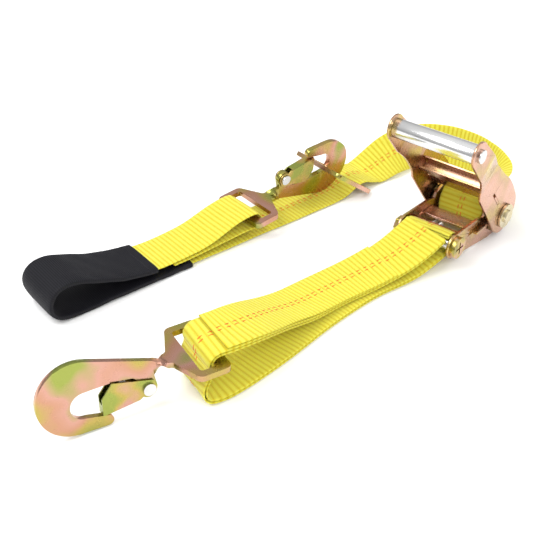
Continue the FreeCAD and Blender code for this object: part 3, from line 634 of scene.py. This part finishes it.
ROLL_INNER, ROLL_PITCH, ROLL_TURNS = 10.6, 2.75, 4.45
ROLL_WIDTH, OUTER_TURN = 49.0, 150.0
spiral = np.arange(0, ROLL_TURNS * 2 * math.pi, 0.024)
radius = ROLL_INNER + ROLL_PITCH * spiral / (2 * math.pi)
top_angle = math.pi / 2 - (spiral - spiral[-1])
spiral_turns = np.stack((radius * np.cos(top_angle), 0.0 * radius, radius * np.sin(top_angle)), axis=1)
places = spiral_turns + MANDREL + SHIFT
roll_line = Strand(places, np.tile((0.0, -1.0, 0.0), (len(places), 1)))
roll = webbing_mesh("mandrel_webbing_roll", roll_line, width=ROLL_WIDTH)
outer_turn = roll_line.part(roll_line.run[-1] - OUTER_TURN, roll_line.run[-1])
roll_tracers = tracer_mesh("mandrel_roll_tracers", outer_turn, (-FACE,))
laid(
    roll, [roll_tracers], ("webbing_roll",),
    body="mandrel",
)


# ---------------------------------------------------------------- springs

def coil(name, node, turns, wire, axis, body):
    """Wound spring that stands for a CAD spring, along the same axis."""
    low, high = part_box(node)
    centre = np.array((low + high) / 2) / MM
    axis = np.array(axis, float)
    axis /= np.linalg.norm(axis)
    side = np.cross(axis, (0.0, 0.0, 1.0) if abs(axis[2]) < 0.9 else (1.0, 0.0, 0.0))
    side /= np.linalg.norm(side)
    other = np.cross(axis, side)
    length, outer = SPRINGS[node]
    t = np.linspace(0, turns * 2 * math.pi, turns * 20)
    ring = outer - wire
    line = centre + side * (ring * np.cos(t))[:, None] + other * (ring * np.sin(t))[:, None]
    line = line + axis * ((t / t[-1] - 0.5) * (length - 2 * wire))[:, None]
    along = np.gradient(line, axis=0)
    along /= np.linalg.norm(along, axis=1)[:, None]
    out = line - (centre + axis * ((line - centre) @ axis)[:, None])
    out /= np.linalg.norm(out, axis=1)[:, None]
    third = np.cross(along, out)
    ring_angles = np.linspace(0, 2 * math.pi, 8, endpoint=False)
    rings = (
        line[:, None, :]
        + out[:, None, :] * (wire * np.cos(ring_angles))[None, :, None]
        + third[:, None, :] * (wire * np.sin(ring_angles))[None, :, None]
    )
    uv = np.zeros((len(t), 8, 2))
    piece = tube_mesh(name, rings, uv, zinc_bright)
    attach(piece, body)
    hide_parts(node)
    return piece


SPRINGS = {
    "lock_pawl_spring": (7.0, 3.4),
    "drive_pawl_spring": (7.0, 2.6),
    "front_keeper_spring": (4.5, 3.0),
    "rear_keeper_spring": (4.5, 3.0),
}
joint_axis = {joint["name"]: joint["axis"] for joint in frame["joints"]}
coil("lock_spring_coil", "lock_pawl_spring", 5, 0.5, (1, 0, 0), "frame")
coil("drive_spring_coil", "drive_pawl_spring", 5, 0.4, joint_axis["drive_pawl_slide"], "handle")
coil("front_keeper_coil", "front_keeper_spring", 4, 0.5, joint_axis["front_keeper_hinge"], "front_hook")
coil("rear_keeper_coil", "rear_keeper_spring", 4, 0.5, joint_axis["rear_keeper_hinge"], "rear_hook")


# ---------------------------------------------------------------- floor, light and camera

FLOOR_HALF, FLOOR_DROP = 6.0, -0.0004
LAMPS = (
    ("key", (-0.9, 0.5, 1.6), 20.0, 1.0, True),
    ("front", (-1.0, -1.0, 1.1), 14.0, 1.0, False),
    ("fill", (0.9, -1.1, 1.3), 8.0, 1.2, True),
    ("back", (0.9, 1.3, 1.2), 12.0, 1.0, False),
)


def studio():
    """Pale floor and soft lamps aimed at the object; two lamps stay out of the metal's reflections."""
    floor_mesh = bpy.data.meshes.new("floor")
    corners = [(x * FLOOR_HALF, y * FLOOR_HALF, 0) for x, y in ((-1, -1), (1, -1), (1, 1), (-1, 1))]
    floor_mesh.from_pydata(corners, [], [(0, 1, 2, 3)])
    floor = bpy.data.objects.new("floor", floor_mesh)
    floor.location.z = FLOOR_DROP
    bpy.context.scene.collection.objects.link(floor)
    m = Nodes("floor_paint")
    m.to("Base Color", m.ramp(m.noise(m.place(), 3.0), (0.3, (0.93, 0.93, 0.93)), (0.7, (0.95, 0.95, 0.95))))
    m.set(Roughness=0.9)
    floor_mesh.materials.append(m.material)
    sky()
    for name, place, energy, side, glossy in LAMPS:
        light = bpy.data.lights.new(name, "AREA")
        light.energy = energy
        light.size = side
        lamp = bpy.data.objects.new(name, light)
        lamp.location = place
        lamp.rotation_euler = (-Vector(place)).to_track_quat("-Z", "Y").to_euler()
        lamp.visible_glossy = glossy
        bpy.context.scene.collection.objects.link(lamp)


SKY_LOW, SKY_HIGH = 0.35, 0.95


def sky():
    """Soft white dome, darker near the horizon, so that the plated steel shows its form."""
    world = bpy.data.worlds.new("studio")
    world.use_nodes = True
    tree = world.node_tree
    parts = tree.nodes.new("ShaderNodeSeparateXYZ")
    tree.links.new(tree.nodes.new("ShaderNodeTexCoord").outputs["Generated"], parts.inputs["Vector"])
    height = tree.nodes.new("ShaderNodeMapRange")
    height.inputs["To Min"].default_value = SKY_LOW
    height.inputs["To Max"].default_value = SKY_HIGH
    tree.links.new(parts.outputs["Z"], height.inputs["Value"])
    tree.links.new(height.outputs["Result"], tree.nodes["Background"].inputs["Strength"])
    tree.nodes["Background"].inputs["Color"].default_value = (1.0, 1.0, 1.0, 1.0)
    bpy.context.scene.world = world
    bpy.context.scene.view_settings.view_transform = "Standard"


ELEVATION, AZIMUTH, DISTANCE = math.radians(35), math.radians(50), 0.9
SENSOR, FOCAL_PIXELS, IMAGE_PIXELS = 36.0, 900.0, 533.0


def camera():
    """Looks down at the photograph's angle from the front hook's side."""
    target = Vector((float(SHIFT[0]), float(SHIFT[1]), 0.0)) * MM
    level = math.cos(ELEVATION)
    away = Vector((-level * math.sin(AZIMUTH), -level * math.cos(AZIMUTH), math.sin(ELEVATION)))
    data = bpy.data.cameras.new("camera")
    data.sensor_width = SENSOR
    data.lens = SENSOR * FOCAL_PIXELS / IMAGE_PIXELS
    eye = bpy.data.objects.new("camera", data)
    eye.location = target + away * DISTANCE
    eye.rotation_euler = (-away).to_track_quat("-Z", "Y").to_euler()
    bpy.context.scene.collection.objects.link(eye)
    bpy.context.scene.camera = eye


studio()
camera()
